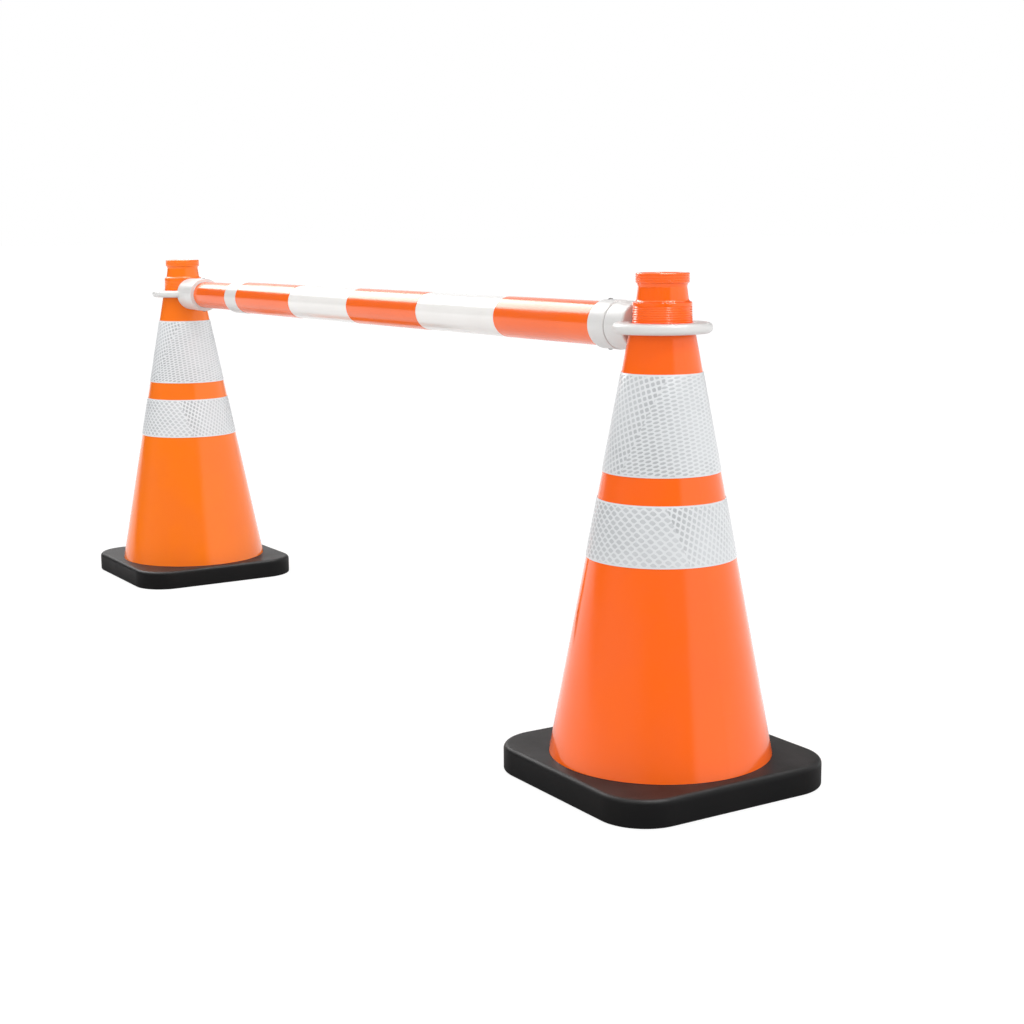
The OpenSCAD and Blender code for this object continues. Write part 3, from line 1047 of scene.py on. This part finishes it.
class LampUse(Enum):
    """What a softbox lights: whether matt surfaces get its light, and whether gloss shows it."""

    ALL = (True, True)
    GLOSS = (False, True)
    MATT = (True, False)


@dataclass
class Softbox:
    """A soft lamp that the camera doesn't see.

    Attributes:
        name: lamp's name
        face: outline of its face
        place: its middle
        aim: point that it faces
        size: width and height
        radiance: brightness of its face, where one is white
        spin: turn about its own axis, in degrees
        use: what it lights
    """

    name: str
    face: LampFace
    place: Vector
    aim: Vector
    size: Flat
    radiance: float
    spin: float = 0.0
    use: LampUse = LampUse.ALL

    def build(self) -> None:
        """Hangs the lamp."""
        lamp = bpy.data.lights.new(self.name, "AREA")
        lamp.shape = self.face.value
        lamp.size, lamp.size_y = self.size
        area = self.size[0] * self.size[1] * (1.0 if self.face is LampFace.SQUARE else math.pi / 4)
        lamp.energy = self.radiance * math.pi * area
        holder = new_object(self.name, lamp)
        facing = (self.aim - self.place).to_track_quat("-Z", "Y").to_matrix().to_4x4()
        spin = Matrix.Rotation(math.radians(self.spin), 4, "Z")
        holder.matrix_world = Matrix.Translation(self.place) @ facing @ spin
        holder.visible_camera = False
        holder.visible_diffuse, holder.visible_glossy = self.use.value
        LOG.info("hung %s", self.name)


@dataclass
class Studio:
    """White floor, a room that is white on one side and dark on the other, a skylight, and three softboxes.

    Heights, depths and nearness to a direction are shares of a ray's direction, from minus one to one.

    Attributes:
        floor_reach: half width of the floor
        floor_glow: what the camera sees of the floor's own light
        floor_shine: what gloss sees of it
        floor_shade: what gloss sees of it under the object, in its shadow
        floor_clear: how far from the object gloss sees the floor out of that shadow
        floor_bounce: what matt surfaces get of it
        floor_colour: share of the lamps' light that it gives back, so that a shadow stays
        backdrop: what the camera sees of the room
        walls: light of the room on matt surfaces, from the sides
        ceiling: light of the room on matt surfaces, from above
        room_fade: heights between which the one turns into the other
        white_side: what gloss sees on the far side of the bar
        white_fade: heights between which that side fades
        white_rest: share of it that is left above them
        dark_side: what gloss sees on the near side
        sides_meet: depths between which the dark side turns into the white one
        window: extra brightness low down, straight in front of the bar
        window_fade: depths between which it grows
        window_top: heights between which it ends
        card: direction of a black card that hangs on the white side, behind the near cone
        card_edge: nearness at which the card begins, and at which it is black
        card_rest: share of the white side that it still shows
        skylight: what gloss sees of the ceiling
        skylight_edge: heights between which the skylight begins
        lantern: direction of the skylight's brightest part
        lantern_edge: nearness at which that part begins, and at which it is brightest
        lantern_glow: what gloss sees of it
    """

    floor_reach: float = 120.0
    floor_glow: float = 0.86
    floor_shine: float = 1.0
    floor_shade: float = 0.14
    floor_clear: float = 0.6
    floor_bounce: float = 0.44
    floor_colour: float = 0.24
    backdrop: float = 1.0
    walls: float = 2.10
    ceiling: float = 0.18
    room_fade: Band = (0.0, 1.0)
    white_side: float = 1.05
    white_fade: Band = (0.30, 0.60)
    white_rest: float = 0.3
    dark_side: float = 0.05
    sides_meet: Band = (-0.09, 0.06)
    window: float = 0.38
    window_fade: Band = (0.72, 1.0)
    window_top: Band = (0.08, 0.20)
    card: Way = (-0.539, 0.770, 0.342)
    card_edge: Band = (0.91, 0.97)
    card_rest: float = 0.1
    skylight: float = 1.6
    skylight_edge: Band = (0.50, 0.85)
    lantern: Way = (0.07, 0.22, 0.973)
    lantern_edge: Band = (0.955, 0.985)
    lantern_glow: float = 16.0

    def floor(self) -> None:
        """Lays the floor."""
        bm = bmesh.new()
        bmesh.ops.create_grid(bm, x_segments=1, y_segments=1, size=self.floor_reach)
        piece = new_object("studio_floor", own_mesh("studio_floor", bm))
        material = bpy.data.materials.new("floor_white")
        graph = bare_graph(material)
        # Gloss sees the floor darker along short rays: a painted shadow under the object.
        far = graph.add("ShaderNodeLightPath").outputs["Ray Length"]
        shine = graph.ramp(far, (0.0, self.floor_clear), self.floor_shade, self.floor_shine)
        level = graph.by_ray(self.floor_bounce, shine, self.floor_glow)
        matt = graph.out("ShaderNodeBsdfDiffuse", {"Color": (self.floor_colour,) * 3})
        glow = graph.out("ShaderNodeEmission", {"Color": WHITE, "Strength": level})
        both = graph.out("ShaderNodeAddShader", {0: matt, 1: glow})
        graph.add("ShaderNodeOutputMaterial", {"Surface": both})
        piece.data.materials.append(material)

    def room(self) -> None:
        """Paints the world: plain to the camera, light and dark to gloss, bright-walled to matt surfaces."""
        world = bpy.data.worlds.new("studio_room")
        graph = bare_graph(world)
        way = graph.add("ShaderNodeTexCoord").outputs["Generated"]
        towards = graph.parts(way)
        height = graph.ramp(towards["Z"], self.white_fade, self.white_side, self.white_side * self.white_rest)
        bare = graph.ramp(graph.measure("DOT_PRODUCT", way, self.card), self.card_edge, 1.0, self.card_rest)
        white = graph.math("MULTIPLY", height, bare)
        sides = graph.ramp(towards["Y"], self.sides_meet, self.dark_side, white)
        nearer = graph.math("MULTIPLY", towards["Y"], -1.0)
        ahead = graph.ramp(nearer, self.window_fade, 0.0, self.window)
        low = graph.ramp(towards["Z"], self.window_top, 1.0, 0.0)
        overhead = graph.ramp(towards["Z"], self.skylight_edge, 0.0, self.skylight)
        above = graph.measure("DOT_PRODUCT", way, self.lantern)
        bright = graph.ramp(above, self.lantern_edge, overhead, self.lantern_glow)
        gloss = graph.math("ADD", graph.math("MULTIPLY_ADD", ahead, low, sides), bright)
        matt = graph.ramp(towards["Z"], self.room_fade, self.walls, self.ceiling)
        level = graph.by_ray(matt, gloss, self.backdrop)
        back = graph.out("ShaderNodeBackground", {"Color": WHITE, "Strength": level})
        graph.add("ShaderNodeOutputWorld", {"Surface": back})
        world.cycles.sampling_method = "NONE"
        bpy.context.scene.world = world

    def build(self) -> None:
        """Builds the floor, the room and the lamps, and sets the plain view."""
        bpy.context.scene.view_settings.view_transform = "Standard"
        self.floor()
        self.room()
        for lamp in self.lamps():
            lamp.build()

    def lamps(self) -> list[Softbox]:
        """Sets out a key over the near cone, a matt fill before the bar and a panel for the bar's gloss."""
        key, neck = Vector((2.72, 0.32, 3.03)), Vector((0.9, 0.0, 0.67))
        fill, far_bar = Vector((-0.4, -0.7, 2.2)), Vector((-0.5, 0.0, 0.55))
        back = Vector((-2.75, -0.27, 2.14))
        return [
            Softbox("key_softbox", LampFace.SQUARE, key, neck, size=(1.8, 0.6), radiance=7.0),
            Softbox("fill_softbox", LampFace.SQUARE, fill, far_bar, size=(1.2, 0.6), radiance=3.5,
                    use=LampUse.MATT),
            Softbox("back_softbox", LampFace.ROUND, back, back + DOWN, size=(4.4, 1.95), radiance=6.8,
                    spin=2.5, use=LampUse.GLOSS),
        ]


@dataclass
class PhotoCamera:
    """The camera that took the photograph.

    Attributes:
        place: where it stands
        azimuth: direction of view round the vertical, in degrees
        pitch: how far it looks down
        roll: how far it leans
        lens: focal length in millimetres, on a sensor as wide as the picture
        sensor: width of that sensor
    """

    place: Way = (2.7593, -1.4016, 0.7726)
    azimuth: float = 58.135
    pitch: float = 9.489
    roll: float = -0.518
    lens: float = 59.08
    sensor: float = 36.0

    def build(self) -> None:
        """Sets up the camera and makes it the scene's."""
        lens = bpy.data.cameras.new("photo_camera")
        lens.lens, lens.sensor_width = self.lens, self.sensor
        holder = new_object("photo_camera", lens)
        turn = Matrix.Rotation(math.radians(self.azimuth), 4, "Z")
        tilt = Matrix.Rotation(math.radians(90.0 - self.pitch), 4, "X")
        lean = Matrix.Rotation(math.radians(self.roll), 4, "Z")
        holder.matrix_world = Matrix.Translation(self.place) @ turn @ tilt @ lean
        bpy.context.scene.camera = holder


def main() -> None:
    """Builds the camera, the studio, the cones, the bar and its ends."""
    logging.basicConfig(level=logging.INFO, format="%(message)s")
    PhotoCamera().build()
    Studio().build()
    TrafficCone(Side.RIGHT, NEAR_ORANGE, NEAR_FILM, NEAR_CELLS).build()
    # The far cone wears copies with painted light: a yellower orange and a paler film.
    TrafficCone(Side.LEFT, FAR_PAINTED_LIGHT_ORANGE, FAR_PAINTED_LIGHT_FILM, FAR_CELLS).build()
    TelescopicBar().build()
    BarEnd(Side.RIGHT, "outer_bar").build()
    BarEnd(Side.LEFT, "inner_bar").build()


if __name__ == "__main__":
    main()
